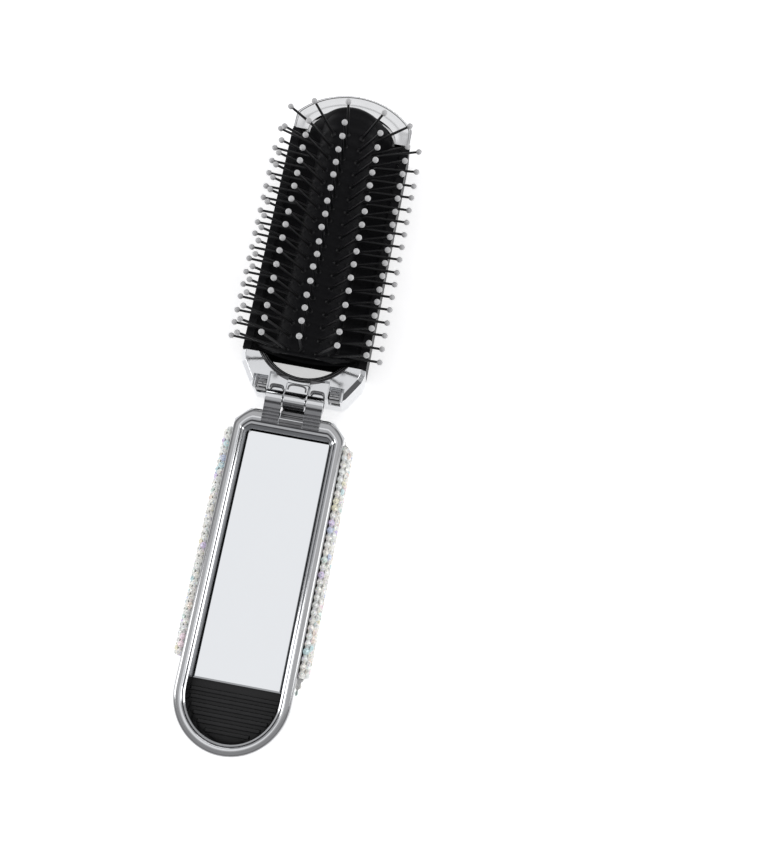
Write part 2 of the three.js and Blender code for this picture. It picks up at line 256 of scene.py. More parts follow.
def ribbed_rubber():
    """Soft black rubber with shallow cross ribs at the pitch of the pins."""
    made = surface("pad_rubber", (0.0055, 0.0055, 0.0065), 0.5, grain=700, bump=0.25, spread=0.2, ior=1.2)
    nodes, links = made.node_tree.nodes, made.node_tree.links
    place = add_node(nodes, "TexCoord")
    split = add_node(nodes, "SeparateXYZ")
    turns = add_node(nodes, "Math", {1: 2 * math.pi / PIN_PITCH})
    turns.operation = "MULTIPLY"
    wave = add_node(nodes, "Math")
    wave.operation = "SINE"
    ribs = add_node(nodes, "Bump", {"Strength": RIB_STRENGTH, "Distance": RIB_DEPTH})
    links.new(place.outputs["Object"], split.inputs[0])
    links.new(split.outputs["Y"], turns.inputs[0])
    links.new(turns.outputs[0], wave.inputs[0])
    links.new(wave.outputs[0], ribs.inputs["Height"])
    links.new(ribs.outputs[0], nodes["Bump"].inputs["Normal"])
    return made


# ---------- mesh helpers ----------
WELD_DISTANCE, MERGE_DISTANCE = 1e-6, 1e-7
FLAT_ANGLE = math.radians(0.5)
EDGE_ANGLE = math.radians(35)
# Points along the stretches of a handle outline: the hinge end, a chamfer, the stub of the side
# next to it, the rest of the side and the half circle.
TOP_STEPS, CHAMFER_STEPS, STUB_STEPS, SIDE_STEPS, ARC_STEPS = 16, 12, 2, 24, 56
CHAMFER_SOFTNESS = 0.4


def add_piece(name, vertices, faces, material, smooth=True, angle=32):
    piece = add_mesh(name, vertices, faces, material)
    tidy_normals(piece.data)
    if smooth:
        shade(piece.data, angle)
    return piece


def tidy_normals(mesh):
    work = bmesh.new()
    work.from_mesh(mesh)
    bmesh.ops.remove_doubles(work, verts=work.verts, dist=MERGE_DISTANCE)
    bmesh.ops.recalc_face_normals(work, faces=work.faces)
    work.to_mesh(mesh)
    work.free()


def shade(mesh, angle):
    mesh.polygons.foreach_set("use_smooth", [True] * len(mesh.polygons))
    mesh.set_sharp_from_angle(angle=math.radians(angle))


def shade_flat(mesh):
    mesh.polygons.foreach_set("use_smooth", [False] * len(mesh.polygons))


def loft(name, rings, material, closed_path=False, angle=32):
    """Skin over closed rings of points that all have the same count, capped if the path is open."""
    count = len(rings[0])
    vertices = [point for ring in rings for point in ring]
    faces = []
    steps = len(rings) if closed_path else len(rings) - 1
    for i in range(steps):
        j = (i + 1) % len(rings)
        for k in range(count):
            m = (k + 1) % count
            faces.append((i * count + k, i * count + m, j * count + m, j * count + k))
    if not closed_path:
        faces.append(tuple(range(count)))
        faces.append(tuple((len(rings) - 1) * count + k for k in range(count)))
    return add_piece(name, vertices, faces, material, angle=angle)


def section_ring(out, inn, section, top):
    """Ring of a frame's section between a point on its outer outline and one on its inner outline."""
    ring = []
    for share, height in section:
        place = out.lerp(inn, share)
        ring.append((place.x, place.y, top + height * MM))
    return ring


def bezier(p0, p1, p2, p3, steps):
    points = []
    for i in range(steps):
        t = i / steps
        s = 1 - t
        points.append(
            Vector(p0) * s ** 3 + Vector(p1) * 3 * s * s * t
            + Vector(p2) * 3 * s * t * t + Vector(p3) * t ** 3
        )
    return points


def straight(a, b, steps):
    return [Vector(a).lerp(Vector(b), i / steps) for i in range(steps)]


def handle_ring(half, top, chamfer, end, side_start):
    """Closed outline: soft chamfers at the hinge end, a half circle at the far end.

    Outlines with the same side_start and the same centre of the half circle have matching points.
    """
    soft = CHAMFER_SOFTNESS * chamfer
    right = half - chamfer
    arc_y = end + half
    side_from = top - chamfer - soft
    points = straight((-right + soft, top), (right - soft, top), TOP_STEPS)
    points += bezier(
        (right - soft, top), (right, top), (half, top - chamfer), (half, side_from), CHAMFER_STEPS,
    )
    points += straight((half, side_from), (half, side_start), STUB_STEPS)
    points += straight((half, side_start), (half, arc_y), SIDE_STEPS)
    for i in range(ARC_STEPS):
        turn = -math.pi * i / ARC_STEPS
        points.append(Vector((half * math.cos(turn), arc_y + half * math.sin(turn))))
    points += straight((-half, arc_y), (-half, side_start), SIDE_STEPS)
    points += straight((-half, side_start), (-half, side_from), STUB_STEPS)
    points += bezier(
        (-half, side_from), (-half, top - chamfer), (-right, top), (-right + soft, top), CHAMFER_STEPS,
    )
    return points


def finish_cad(node, material, bevel):
    """Gives a CAD node its material, rounds its edges and smooths its curved faces."""
    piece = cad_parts[node]
    piece.data.materials.clear()
    piece.data.materials.append(material)
    shade(piece.data, 32)
    weld = piece.modifiers.new("weld", "WELD")
    weld.merge_threshold = WELD_DISTANCE
    flats = piece.modifiers.new("flats", "DECIMATE")
    flats.decimate_type = "DISSOLVE"
    flats.angle_limit = FLAT_ANGLE
    soften(piece, bevel)
    return piece


def round_edges(piece, bevel, segments):
    rounding = piece.modifiers.new("rounding", "BEVEL")
    rounding.width = bevel * MM
    rounding.segments = segments
    rounding.limit_method = "ANGLE"
    rounding.angle_limit = EDGE_ANGLE


def soften(piece, bevel):
    """Rounds the edges by a width in mm and keeps the flat faces flat."""
    round_edges(piece, bevel, 3)
    normals = piece.modifiers.new("normals", "WEIGHTED_NORMAL")
    normals.weight = 100
    normals.keep_sharp = True


# ---------- handle ----------
# Section of the bezel from its outer edge (0) to the mirror well (1), and height from its face in mm.
BEZEL_SECTION = [
    (0.0, -1.5), (0.0, -0.95), (0.02, -0.6), (0.07, -0.3), (0.15, -0.1), (0.27, 0.0), (0.46, 0.0),
    (0.60, -0.08), (0.68, -0.3), (0.71, -0.6), (0.75, -0.72), (0.86, -0.8), (0.90, -0.95), (0.92, -1.3),
    (1.0, -4.25), (0.76, -4.25), (0.76, -1.5),
]
# Steps of the section that get the darker platings as painted shade, the outer rim a mid grey and the
# inner slope and wall a dark grey, counted from the outer edge.
BEZEL_RIM_SHADE_STEPS = range(0, 6)
BEZEL_SHADE_STEPS = (8, 9, 11, 12, 13)
BEZEL_CHAMFER, WELL_CHAMFER = 3.8 * MM, 1.0 * MM
WELL_MARGIN, WELL_STUB = 0.12 * MM, 1.8 * MM
# The slot for the head's neck, and beside it, towards the mirror, the recess for the hinge plate.
SLOT_GAP, SLOT_DEPTH = 0.3 * MM, 1.7 * MM
RECESS_GAP, RECESS_INSET = 0.05 * MM, 0.1 * MM


def make_bezel(plating, rim_shade, shade_plating):
    """Rounded frame between matching outlines of its outer edge and of the mirror well."""
    well_half = GLASS_HIGH.x + WELL_MARGIN
    well_top = GLASS_HIGH.y + WELL_MARGIN
    side_start = well_top - WELL_STUB
    well_end = BEZEL_LOW.y + BEZEL_HIGH.x - well_half
    outer = handle_ring(BEZEL_HIGH.x, BEZEL_HIGH.y, BEZEL_CHAMFER, BEZEL_LOW.y, side_start)
    inner = handle_ring(well_half, well_top, WELL_CHAMFER, well_end, side_start)
    rings = [section_ring(out, inn, BEZEL_SECTION, BEZEL_HIGH.z) for out, inn in zip(outer, inner)]
    bezel = loft("bezel", rings, plating, closed_path=True, angle=40)
    bezel.data.materials.append(rim_shade)
    bezel.data.materials.append(shade_plating)
    # The outer rim and the inner slope and wall get the darker platings: painted shade.
    for polygon in bezel.data.polygons:
        step = polygon.index % len(BEZEL_SECTION)
        polygon.material_index = 1 if step in BEZEL_RIM_SHADE_STEPS else 2 if step in BEZEL_SHADE_STEPS else 0
    neck_low, neck_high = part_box("head_knuckle")
    slot_y = 2 * HINGE.y - neck_high.y - SLOT_GAP
    cut_box(
        bezel, (neck_low.x - SLOT_GAP, slot_y, BEZEL_HIGH.z - SLOT_DEPTH),
        (neck_high.x + SLOT_GAP, CUT_END, CUT_TOP),
    )
    left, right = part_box("hinge_knuckle_left")[1].x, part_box("hinge_knuckle_right")[0].x
    recess_y = HINGE.y + PLATE_SECTION[0][0] * MM - RECESS_GAP
    cut_box(
        bezel, (left + RECESS_INSET, recess_y, BEZEL_HIGH.z - PLATE_DEPTH),
        (right - RECESS_INSET, slot_y + RECESS_INSET, CUT_TOP),
    )
    shade(bezel.data, 40)
    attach(bezel, "handle")
    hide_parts("mirror_bezel")


def cut_box(piece, low, high):
    """Cuts a block between two corners out of a piece."""
    corners = [
        (x, y, z) for x in (low[0], high[0]) for y in (low[1], high[1]) for z in (low[2], high[2])
    ]
    faces = [(0, 1, 3, 2), (4, 6, 7, 5), (0, 4, 5, 1), (2, 3, 7, 6), (0, 2, 6, 4), (1, 5, 7, 3)]
    cutter = add_piece("cutter", corners, faces, piece.data.materials[0], smooth=False)
    step = piece.modifiers.new("cut", "BOOLEAN")
    step.object = cutter
    step.operation = "DIFFERENCE"
    step.solver = "EXACT"
    apply_modifiers(piece)
    bpy.data.objects.remove(cutter)


def apply_modifiers(piece):
    bpy.context.view_layer.update()
    done = bpy.data.meshes.new_from_object(piece.evaluated_get(bpy.context.evaluated_depsgraph_get()))
    piece.modifiers.clear()
    piece.data = done


def make_handle_insides(black, glass, tape):
    finish_cad("handle_liner", black, 0.2)
    finish_cad("mirror_adhesive", tape, 0.03)
    make_mirror(glass)


MIRROR_EDGE, MIRROR_EDGE_DROP = 0.45 * MM, 0.18 * MM


def make_mirror(glass):
    """Plate with a narrow ground edge all round its face."""
    low, high = GLASS_LOW, GLASS_HIGH
    rings = []
    for inset, z in ((0.0, low.z), (0.0, high.z - MIRROR_EDGE_DROP), (MIRROR_EDGE, high.z)):
        rings.append([
            (low.x + inset, low.y + inset, z), (high.x - inset, low.y + inset, z),
            (high.x - inset, high.y - inset, z), (low.x + inset, high.y - inset, z),
        ])
    mirror = loft("mirror_plate", rings, glass)
    shade_flat(mirror.data)
    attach(mirror, "handle")
    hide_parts("mirror_glass")


# ---------- stones ----------
STONE_R = 0.98 * MM
STONE_PITCH = 2.04 * MM
STONE_HEIGHT = 1.02 * MM
STONE_SIDES = 8
# Rings of a stone from its back up: share of its radius, share of its height, turn in facets.
STONE_RINGS = ((1.0, 0.0, 0.0), (1.0, 0.22, 0.0), (0.80, 0.62, 0.5), (0.50, 0.94, 0.0))
STONE_SEAT = 0.03 * MM
CLEAR_TINT = (0.93, 0.935, 0.90)
WARMTH = (-0.02, 0.03)
# Brightness of each facet, drawn at random: painted sparkle.
FACET_PAINTED_SPARKLE = (0.62, 0.78, 0.9, 1.0, 1.0, 1.0)
FRINGE_SHARE = 0.12
PASTELS = [
    (1.0, 0.93, 0.55), (1.0, 0.78, 0.62), (1.0, 0.70, 0.80), (0.45, 0.80, 0.85), (0.42, 0.55, 0.90),
    (0.62, 0.42, 0.85), (0.70, 0.95, 0.85),
]
PASTEL_SHARE = 0.24
PASTEL_SOFTNESS = 0.45


def stone_tint():
    if random.random() < PASTEL_SHARE:
        return Vector(random.choice(PASTELS)).lerp(Vector((1, 1, 1)), PASTEL_SOFTNESS)
    warm = random.uniform(*WARMTH)
    return Vector((CLEAR_TINT[0] + warm, CLEAR_TINT[1], CLEAR_TINT[2] - warm))


def add_stone(vertices, faces, tints_and_sparkle, place, out, size=1.0):
    """One faceted stone whose flat back is at place and whose table points along out."""
    turn = random.uniform(0, 1)
    base = len(vertices)
    face_out = Vector(out).normalized()
    side = face_out.orthogonal().normalized()
    up = face_out.cross(side)
    for share, height, shift in STONE_RINGS:
        for k in range(STONE_SIDES):
            angle = turn + 2 * math.pi * (k + shift) / STONE_SIDES
            flat = (side * math.cos(angle) + up * math.sin(angle)) * STONE_R * share * size
            vertices.append(Vector(place) + flat + face_out * STONE_HEIGHT * height * size)
    vertices.append(Vector(place) + face_out * STONE_HEIGHT * size)
    centre = len(vertices) - 1
    tint = stone_tint()

    def face(*corners):
        faces.append(corners)
        # Each facet is darkened at random: painted sparkle.
        painted_sparkle = random.choice(FACET_PAINTED_SPARKLE)
        fringe = Vector(random.choice(PASTELS)) if random.random() < FRINGE_SHARE else tint
        tints_and_sparkle.append((fringe * 0.5 + tint * 0.5) * painted_sparkle)

    n = STONE_SIDES
    for k in range(n):
        m = (k + 1) % n
        before = (k - 1) % n
        face(base + k, base + m, base + n + m, base + n + k)
        face(base + n + k, base + n + m, base + 2 * n + k)
        face(base + 2 * n + before, base + n + k, base + 2 * n + k)
        face(base + 2 * n + before, base + 2 * n + k, base + 3 * n + k)
        face(base + 2 * n + k, base + 3 * n + m, base + 3 * n + k)
        face(base + 3 * n + k, base + 3 * n + m, centre)
    faces.append(tuple(base + k for k in reversed(range(n))))
    tints_and_sparkle.append(tint * 0.5)


SHEET_CORNER = 5.5 * MM
SHEET_TAPER = 24.5 * MM


def sheet_half_width(y):
    """Half the width of the stone sheet at y: round corners, straight sides, an elliptic end."""
    corner = SHEET_CORNER
    taper_from = SHEET_LOW.y + SHEET_TAPER
    half = SHEET_HIGH.x
    if y > SHEET_HIGH.y - corner:
        rise = y - (SHEET_HIGH.y - corner)
        return half - corner + math.sqrt(max(0.0, corner ** 2 - rise ** 2))
    if y < taper_from:
        share = min(1.0, (taper_from - y) / (taper_from - SHEET_LOW.y))
        return half * math.sqrt(max(0.0, 1 - share ** 2))
    return half


def sheet_outline(inset, steps=220):
    """The sheet's outline as a closed list, drawn in by an inset."""
    top, bottom = SHEET_HIGH.y - inset, SHEET_LOW.y + inset
    right = []
    for i in range(steps + 1):
        y = (top + bottom) / 2 + (top - bottom) / 2 * math.cos(math.pi * i / steps)
        stretched = (SHEET_HIGH.y + SHEET_LOW.y) / 2 + (y - (top + bottom) / 2) * (
            (SHEET_HIGH.y - SHEET_LOW.y) / (top - bottom)
        )
        right.append(Vector((max(0.0, sheet_half_width(stretched) - inset), y)))
    return right + [Vector((-p.x, p.y)) for p in reversed(right)]


def walk(outline, pitch):
    """Evenly spaced points along a closed outline, each with its outward normal."""
    pairs = list(zip(outline, outline[1:] + outline[:1]))
    length = sum((b - a).length for a, b in pairs)
    count = int(length / pitch)
    step, travelled, target = length / count, 0.0, 0.0
    spots = []
    for a, b in pairs:
        run = (b - a).length
        while run > 0 and target < travelled + run and len(spots) < count:
            along = (b - a) / run
            spots.append((a + along * (target - travelled), Vector((-along.y, along.x))))
            target += step
        travelled += run
    return spots


# How unevenly the stones are glued: their tilt, and their place in mm.
TILT_JITTER, PLACE_JITTER = 0.05, 0.03
FIELD_EDGE, FIELD_ROOM = 1.9 * MM, 0.5 * MM
BORDER_INSET, BORDER_LIFT = 1.35 * MM, 0.35 * MM
BORDER_SIZE, BORDER_LEAN = 0.92, 0.75
BACK_Z = SHEET_LOW.z + STONE_HEIGHT + STONE_SEAT


def add_back_stones(vertices, faces, tints_and_sparkle):
    """Close-packed rows over the back, inside its edge."""
    row_step = STONE_PITCH * math.sqrt(3) / 2
    rows = int((SHEET_HIGH.y - SHEET_LOW.y - 2 * FIELD_EDGE) / row_step)
    for j in range(rows + 1):
        y = SHEET_HIGH.y - FIELD_EDGE - j * row_step
        half = sheet_half_width(y) - FIELD_EDGE - FIELD_ROOM
        if half < STONE_R:
            continue
        count = int(half / STONE_PITCH) + 1
        for i in range(-count, count + 1):
            x = (i + 0.5 * (j % 2)) * STONE_PITCH
            if abs(x) > half:
                continue
            out = (random.gauss(0, TILT_JITTER), random.gauss(0, TILT_JITTER), -1)
            spot_x = x + random.gauss(0, PLACE_JITTER) * MM
            spot = (spot_x, y + random.gauss(0, PLACE_JITTER) * MM, BACK_Z)
            add_stone(vertices, faces, tints_and_sparkle, spot, out)


def add_border_stones(vertices, faces, tints_and_sparkle):
    """One row of smaller stones round the back, leaning outwards."""
    centre = Vector((0, middle("stone_sheet").y))
    for place, normal in walk(sheet_outline(BORDER_INSET), STONE_PITCH):
        away = -normal if normal.dot(place - centre) < 0 else normal
        spot = (place.x, place.y, BACK_Z + BORDER_LIFT)
        out = (away.x * BORDER_LEAN, away.y * BORDER_LEAN, -1)
        add_stone(vertices, faces, tints_and_sparkle, spot, out, BORDER_SIZE)


SIDE_TOP_DROP = 5.7 * MM
SIDE_END = 20.5 * MM
SIDE_RIM = 10.7 * MM
SIDE_BULGE = 0.75 * MM
# Rows of stones up a side: height of the first, step, and each row's share of the bulge.
SIDE_FIRST, SIDE_STEP = 2.9 * MM, 1.86 * MM
SIDE_BULGES = (0.75, 1.0, 1.0, 0.7)
SIDE_JITTER = 0.06
RIM_INSET, RIM_DROP, RIM_LEAN = 0.35 * MM, 0.72 * MM, 0.75


def add_side_stones(vertices, faces, tints_and_sparkle):
    """Rows up both sides of the handle, and one that leans over each rim."""
    y_from, y_to = SHEET_HIGH.y - SIDE_TOP_DROP - STONE_R, SHEET_LOW.y + SIDE_END + STONE_R
    count = int((y_from - y_to) / STONE_PITCH)
    step = (y_from - y_to) / count
    wall = SHEET_HIGH.x - STONE_HEIGHT - STONE_SEAT
    for side in (-1, 1):
        for k, share in enumerate(SIDE_BULGES):
            x = side * (wall + SIDE_BULGE * share)
            for i in range(count + 1):
                y = y_from - (i + 0.5 * (k % 2)) * step
                if y < y_to - 0.1 * MM:
                    continue
                out = (side, random.gauss(0, SIDE_JITTER), random.gauss(0, SIDE_JITTER))
                spot = (x, y, SIDE_FIRST + SIDE_STEP * k)
                add_stone(vertices, faces, tints_and_sparkle, spot, out)
        for i in range(count + 1):
            out = (side * RIM_LEAN, random.gauss(0, SIDE_JITTER), 1)
            spot = (side * (wall - RIM_INSET), y_from - i * step, SIDE_RIM - RIM_DROP)
            add_stone(vertices, faces, tints_and_sparkle, spot, out)


def make_stones(crystal, cloth):
    vertices, faces, tints_and_sparkle = [], [], []
    add_back_stones(vertices, faces, tints_and_sparkle)
    add_border_stones(vertices, faces, tints_and_sparkle)
    add_side_stones(vertices, faces, tints_and_sparkle)
    stones = add_mesh("stones", vertices, faces, crystal)
    colours = stones.data.attributes.new("tint", "FLOAT_COLOR", "CORNER")
    for polygon, tint in zip(stones.data.polygons, tints_and_sparkle):
        for corner in polygon.loop_indices:
            colours.data[corner].color = (*tint, 1)
    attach(stones, "handle")
    make_backing(cloth, stones)


BACKING_INSET, BACKING_TOP, BACKING_GAP = 1.0 * MM, 1.55 * MM, 0.02 * MM
BACKING_INNER = 16.15 * MM
BACKING_OUTER = SHEET_HIGH.x - STONE_HEIGHT
BACKING_BULGED = BACKING_OUTER + SIDE_BULGE - 0.05 * MM
# Section of the backing up a side: distance from the middle in metres, height in mm.
SIDE_SECTION = [
    (BACKING_INNER, 1.3), (BACKING_OUTER, 1.3), (BACKING_BULGED, 4.0), (BACKING_BULGED, 7.5),
    (BACKING_OUTER + 0.3 * MM, 9.2), (BACKING_OUTER - 0.25 * MM, 10.1), (BACKING_INNER, 10.1),
]


def make_backing(cloth, stones):
    outline = sheet_outline(BACKING_INSET, 120)
    rings = []
    for height in (STONE_HEIGHT + BACKING_GAP, BACKING_TOP):
        rings.append([(p.x, p.y, SHEET_LOW.z + height) for p in outline])
    backing = loft("stone_backing", rings, cloth)
    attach(backing, "handle")
    pieces = [backing, stones]
    ends = (SHEET_LOW.y + SIDE_END, SHEET_HIGH.y - SIDE_TOP_DROP)
    for side, word in ((-1, "left"), (1, "right")):
        rings = [[(side * x, y, SHEET_LOW.z + z * MM) for x, z in SIDE_SECTION] for y in ends]
        wall = loft(f"stone_backing_{word}", rings, cloth)
        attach(wall, "handle")
        pieces.append(wall)
    for piece in pieces:
        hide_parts("stone_sheet")


# ---------- hinge ----------
KNUCKLE_R = 2.4 * MM
LEAF_SHADE_FROM = -1.2 * MM
LEAF_BREAK = (-2.7 * MM, 1.35 * MM)
LEAF_END = (-7.2 * MM, 0.55 * MM)
LEAF_GROOVES = 4
GROOVE_DEPTH = 0.16 * MM
# Where the grooves start and the stretch they take, as shares of the leaf's slope.
GROOVES_FROM, GROOVES_SPAN = 0.12, 0.84
# Outline of a groove: share of its pitch, share of its depth.
GROOVE_OUTLINE = ((0.0, 0.0), (0.12, 1.0), (0.32, 1.0), (0.44, 0.0))
# Where the barrel's outline starts, in radians past its back, and ends, as a share of its radius up.
BARREL_START, BARREL_SHARE = 0.62, 0.55
LEAF_FOOT_GAP = 0.1 * MM


def leaf_outline():
    """Side view of an outer knuckle: the barrel, and a leaf that slopes down on to the bezel."""
    outline = []
    steps = 26
    start = math.pi - math.asin(BARREL_SHARE)
    for i in range(steps + 1):
        turn = -math.pi + BARREL_START + (start + math.pi - BARREL_START) * i / steps
        outline.append((KNUCKLE_R * math.cos(turn), KNUCKLE_R * math.sin(turn)))
    slope = Vector(LEAF_END) - Vector(LEAF_BREAK)
    outline.append(LEAF_BREAK)
    for k in range(LEAF_GROOVES):
        for share, depth in GROOVE_OUTLINE:
            along = GROOVES_FROM + GROOVES_SPAN * (k + share) / LEAF_GROOVES
            spot = Vector(LEAF_BREAK) + slope * along
            outline.append((spot.x, spot.y - GROOVE_DEPTH * depth))
    base = BEZEL_HIGH.z + LEAF_FOOT_GAP - HINGE.z
    outline += [LEAF_END, (LEAF_END[0] - 0.02 * MM, base), (-KNUCKLE_R * 0.92, base)]
    return outline


def make_knuckle(name, node, plating, shade_plating):
    """Outer knuckle whose leaf beyond the barrel has the darker plating: painted shade."""
    low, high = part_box(node)
    section = leaf_outline()
    rings = [[(x, HINGE.y + y, HINGE.z + z) for y, z in section] for x in (low.x, high.x)]
    knuckle = loft(name, rings, plating, angle=30)
    knuckle.data.materials.append(shade_plating)
    # The sloping leaf gets the darker plating: painted shade.
    for polygon in knuckle.data.polygons:
        polygon.material_index = int(polygon.center.y < HINGE.y + LEAF_SHADE_FROM)
    soften(knuckle, 0.22)
    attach(knuckle, "handle")
    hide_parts(node)


# Side views of the dark plates between the leaves, on the bezel and in its slot: distance from the
# hinge and height above the bezel, in mm.
PLATE_SECTION = [(-7.1, -0.55), (-7.1, -0.3), (-6.6, -0.25), (-6.5, -0.1), (-5.6, -0.05), (-5.5, -0.55)]
PLATE_DEPTH = 0.5 * MM
SLOT_PLATE_SECTION = [
    (-5.2, -1.9), (-5.2, -1.25), (-4.4, -1.25), (-4.3, -1.4), (-3.9, -1.4), (-3.8, -1.2), (-2.9, -1.2),
    (-2.8, -1.9),
]
HINGE_TONGUE_SECTION = [(-4.0, -3.3), (-4.0, -2.8), (-1.3, -2.8), (-1.1, -2.95), (-1.1, -3.3)]
PLATE_GAP = 0.15 * MM


def make_hinge_plates(dark):
    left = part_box("hinge_knuckle_left")[1].x + PLATE_GAP
    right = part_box("hinge_knuckle_right")[0].x - PLATE_GAP
    for name, section in (
        ("hinge_plate", PLATE_SECTION), ("hinge_slot_plate", SLOT_PLATE_SECTION),
        ("hinge_tongue", HINGE_TONGUE_SECTION),
    ):
        rings = [[(x, HINGE.y + y * MM, BEZEL_HIGH.z + z * MM) for y, z in section] for x in (left, right)]
        plate = loft(name, rings, dark, angle=30)
        soften(plate, 0.08)
        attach(plate, "handle")


def make_hinge(plating, shade_plating, dark, steel):
    make_knuckle("knuckle_left", "hinge_knuckle_left", plating, shade_plating)
    make_knuckle("knuckle_right", "hinge_knuckle_right", plating, shade_plating)
    make_hinge_plates(dark)
    barrel = finish_cad("head_knuckle", plating, 0.28)
    # Faces of the head's knuckle that face the handle get the darker plating: painted shade.
    barrel.data.materials.append(shade_plating)
    for polygon in barrel.data.polygons:
        faces_handle = polygon.normal.y < -0.5
        polygon.material_index = int(faces_handle)
    finish_cad("hinge_pin", steel, 0.1)


# ---------- head ----------
# Section of the end cap from its outer edge (0) to the tongue opening (1), and height in mm.
CAP_SECTION = [
    (0.0, -12.45), (0.0, -0.9), (0.015, -0.5), (0.05, -0.18), (0.09, -0.03), (0.13, 0.0), (0.16, -0.05),
    (0.18, -0.3), (0.22, -0.38), (0.60, -0.5), (0.92, -0.42), (0.97, -0.5), (1.0, -0.75), (1.0, -3.1),
    (0.30, -3.1), (0.30, -12.45),
]
CAP_CORNER_DROP = 8.4 * MM
CAP_SOFTNESS = 2.2 * MM
# The part of the far arc that is kept, and the points along the side, the corner and the arc.
CAP_ARC_SHARE = 0.93
CAP_SIDE_STEPS, CAP_CORNER_STEPS, CAP_ARC_STEPS = 10, 8, 40
TONGUE_HALF = 13.2 * MM
TONGUE_RISE = 8.3 * MM


def cap_outline():
    """The end cap's outer edge, from its left foot round to its right foot."""
    half, top = CAP_HIGH.x, CAP_HIGH.y
    corner = top - CAP_CORNER_DROP
    radius = (half * half + CAP_CORNER_DROP ** 2) / (2 * CAP_CORNER_DROP)
    reach = math.asin(half / radius) * CAP_ARC_SHARE
    arc = []
    for i in range(CAP_ARC_STEPS + 1):
        angle = math.pi / 2 + reach * (1 - 2 * i / CAP_ARC_STEPS)
        arc.append(Vector((radius * math.cos(angle), top - radius + radius * math.sin(angle))))
    side_end = (-half, corner - CAP_SOFTNESS)
    left = straight((-half, CAP_LOW.y), side_end, CAP_SIDE_STEPS)
    left += bezier(side_end, (-half, corner), (-half, corner), arc[0], CAP_CORNER_STEPS)
    return left + arc + [Vector((-p.x, p.y)) for p in reversed(left)]


def make_end_cap(plating):
    outer = cap_outline()
    rings = []
    for i, out in enumerate(outer):
        angle = math.pi * (1 - i / (len(outer) - 1))
        inn = Vector((TONGUE_HALF * math.cos(angle), CAP_LOW.y + TONGUE_RISE * math.sin(angle)))
        rings.append(section_ring(out, inn, CAP_SECTION, CAP_HIGH.z))
    # The cap gets the lighter plating passed in: painted light.
    cap = loft("end_cap", rings, plating, angle=36)
    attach(cap, "head")
    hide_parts("head_end_cap")


# Pocket beside the outer knuckles: inner and outer side, near and far end from the hinge, in mm.
POCKET = (8.9, 13.0, 0.4, 6.2)
POCKET_DEPTH = 2.3 * MM
FLOOR_SINK = 0.2 * MM
# Ribs on its floor: distance from the hinge and width, in mm. Every other rib is lower.
POCKET_RIBS = ((2.5, 0.50), (3.6, 0.35), (4.5, 0.55), (5.5, 0.35))
RIB_DROP, RIB_LOWER = 0.7, 0.35
RIB_TAPER, RIB_INSET, RIB_ROOM = 0.1 * MM, 0.25 * MM, 0.9 * MM
# Ledge: distances in from the outer side and from the hinge, drop and taper.
LEDGE_ACROSS, LEDGE_ALONG = (1.1 * MM, 0.6 * MM), (2.9 * MM, 5.9 * MM)
LEDGE_DROP, LEDGE_TAPER = 1.0 * MM, 0.15 * MM
# Boss: distances from the inner side and from the hinge, and its profile in mm.
BOSS_PLACE = (1.3 * MM, 4.9 * MM)
BOSS_PROFILE = ((0.0, 0.7), (1.3, 0.7), (1.35, 0.35), (1.7, 0.3))
BOSS_SIDES = 14
LEAF_RELIEF = 1.3 * MM
# The band along the shoulder's top edges is cut outside SHOULDER_SIDE and clear of the pad's window.
SHOULDER_BAND = 1.35 * MM
SHOULDER_SIDE = 12.6 * MM
WINDOW_HALF = 14 * MM
WINDOW_REACH = 2 * MM
CLOSE = 1e-5


def make_shoulder(plating):
    """The plated shoulder, with a polished band cut along its outer edges."""
    work = bmesh.new()
    work.from_mesh(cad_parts["head_shoulder"].data)
    bmesh.ops.remove_doubles(work, verts=work.verts, dist=WELD_DISTANCE)
    bmesh.ops.dissolve_limit(work, angle_limit=FLAT_ANGLE, verts=work.verts, edges=work.edges)
    bands = []
    for edge in work.edges:
        ends = [v.co for v in edge.verts]
        at_top = all(abs(c.z - SHOULDER_HIGH.z) < CLOSE for c in ends)
        outside = all(abs(c.x) > SHOULDER_SIDE for c in ends)
        across = all(abs(c.y - SHOULDER_HIGH.y) < CLOSE for c in ends)
        at_window = any(abs(c.x) < WINDOW_HALF and c.y > SHOULDER_HIGH.y - WINDOW_REACH for c in ends)
        if at_top and outside and not across and not at_window:
            bands.append(edge)
    bmesh.ops.bevel(work, geom=bands, offset=SHOULDER_BAND, segments=1, affect="EDGES")
    mesh = bpy.data.meshes.new("shoulder")
    work.to_mesh(mesh)
    work.free()
    mesh.materials.clear()
    mesh.materials.append(plating)
    shoulder = add_object("shoulder", mesh)
    inner, outer, near, far = (value * MM for value in POCKET)
    for side in (-1, 1):
        xs = sorted((side * inner, side * outer))
        low = (xs[0], HINGE.y + near, SHOULDER_HIGH.z - POCKET_DEPTH)
        cut_box(shoulder, low, (xs[1], HINGE.y + far, CUT_TOP))
    shade_flat(shoulder.data)
    round_edges(shoulder, 0.16, 2)
    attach(shoulder, "head")
    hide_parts("head_shoulder")


def box_into(vertices, faces, low, high, taper):
    """Adds a block whose top is drawn in by the taper on its long sides."""
    base = len(vertices)
    x0, y0, z0 = low
    x1, y1, z1 = high
    vertices += [(x0, y0, z0), (x1, y0, z0), (x1, y1, z0), (x0, y1, z0)]
    vertices += [(x0, y0 + taper, z1), (x1, y0 + taper, z1), (x1, y1 - taper, z1), (x0, y1 - taper, z1)]
    for face in ((3, 2, 1, 0), (4, 5, 6, 7), (0, 1, 5, 4), (1, 2, 6, 5), (2, 3, 7, 6), (3, 0, 4, 7)):
        faces.append(tuple(base + i for i in face))


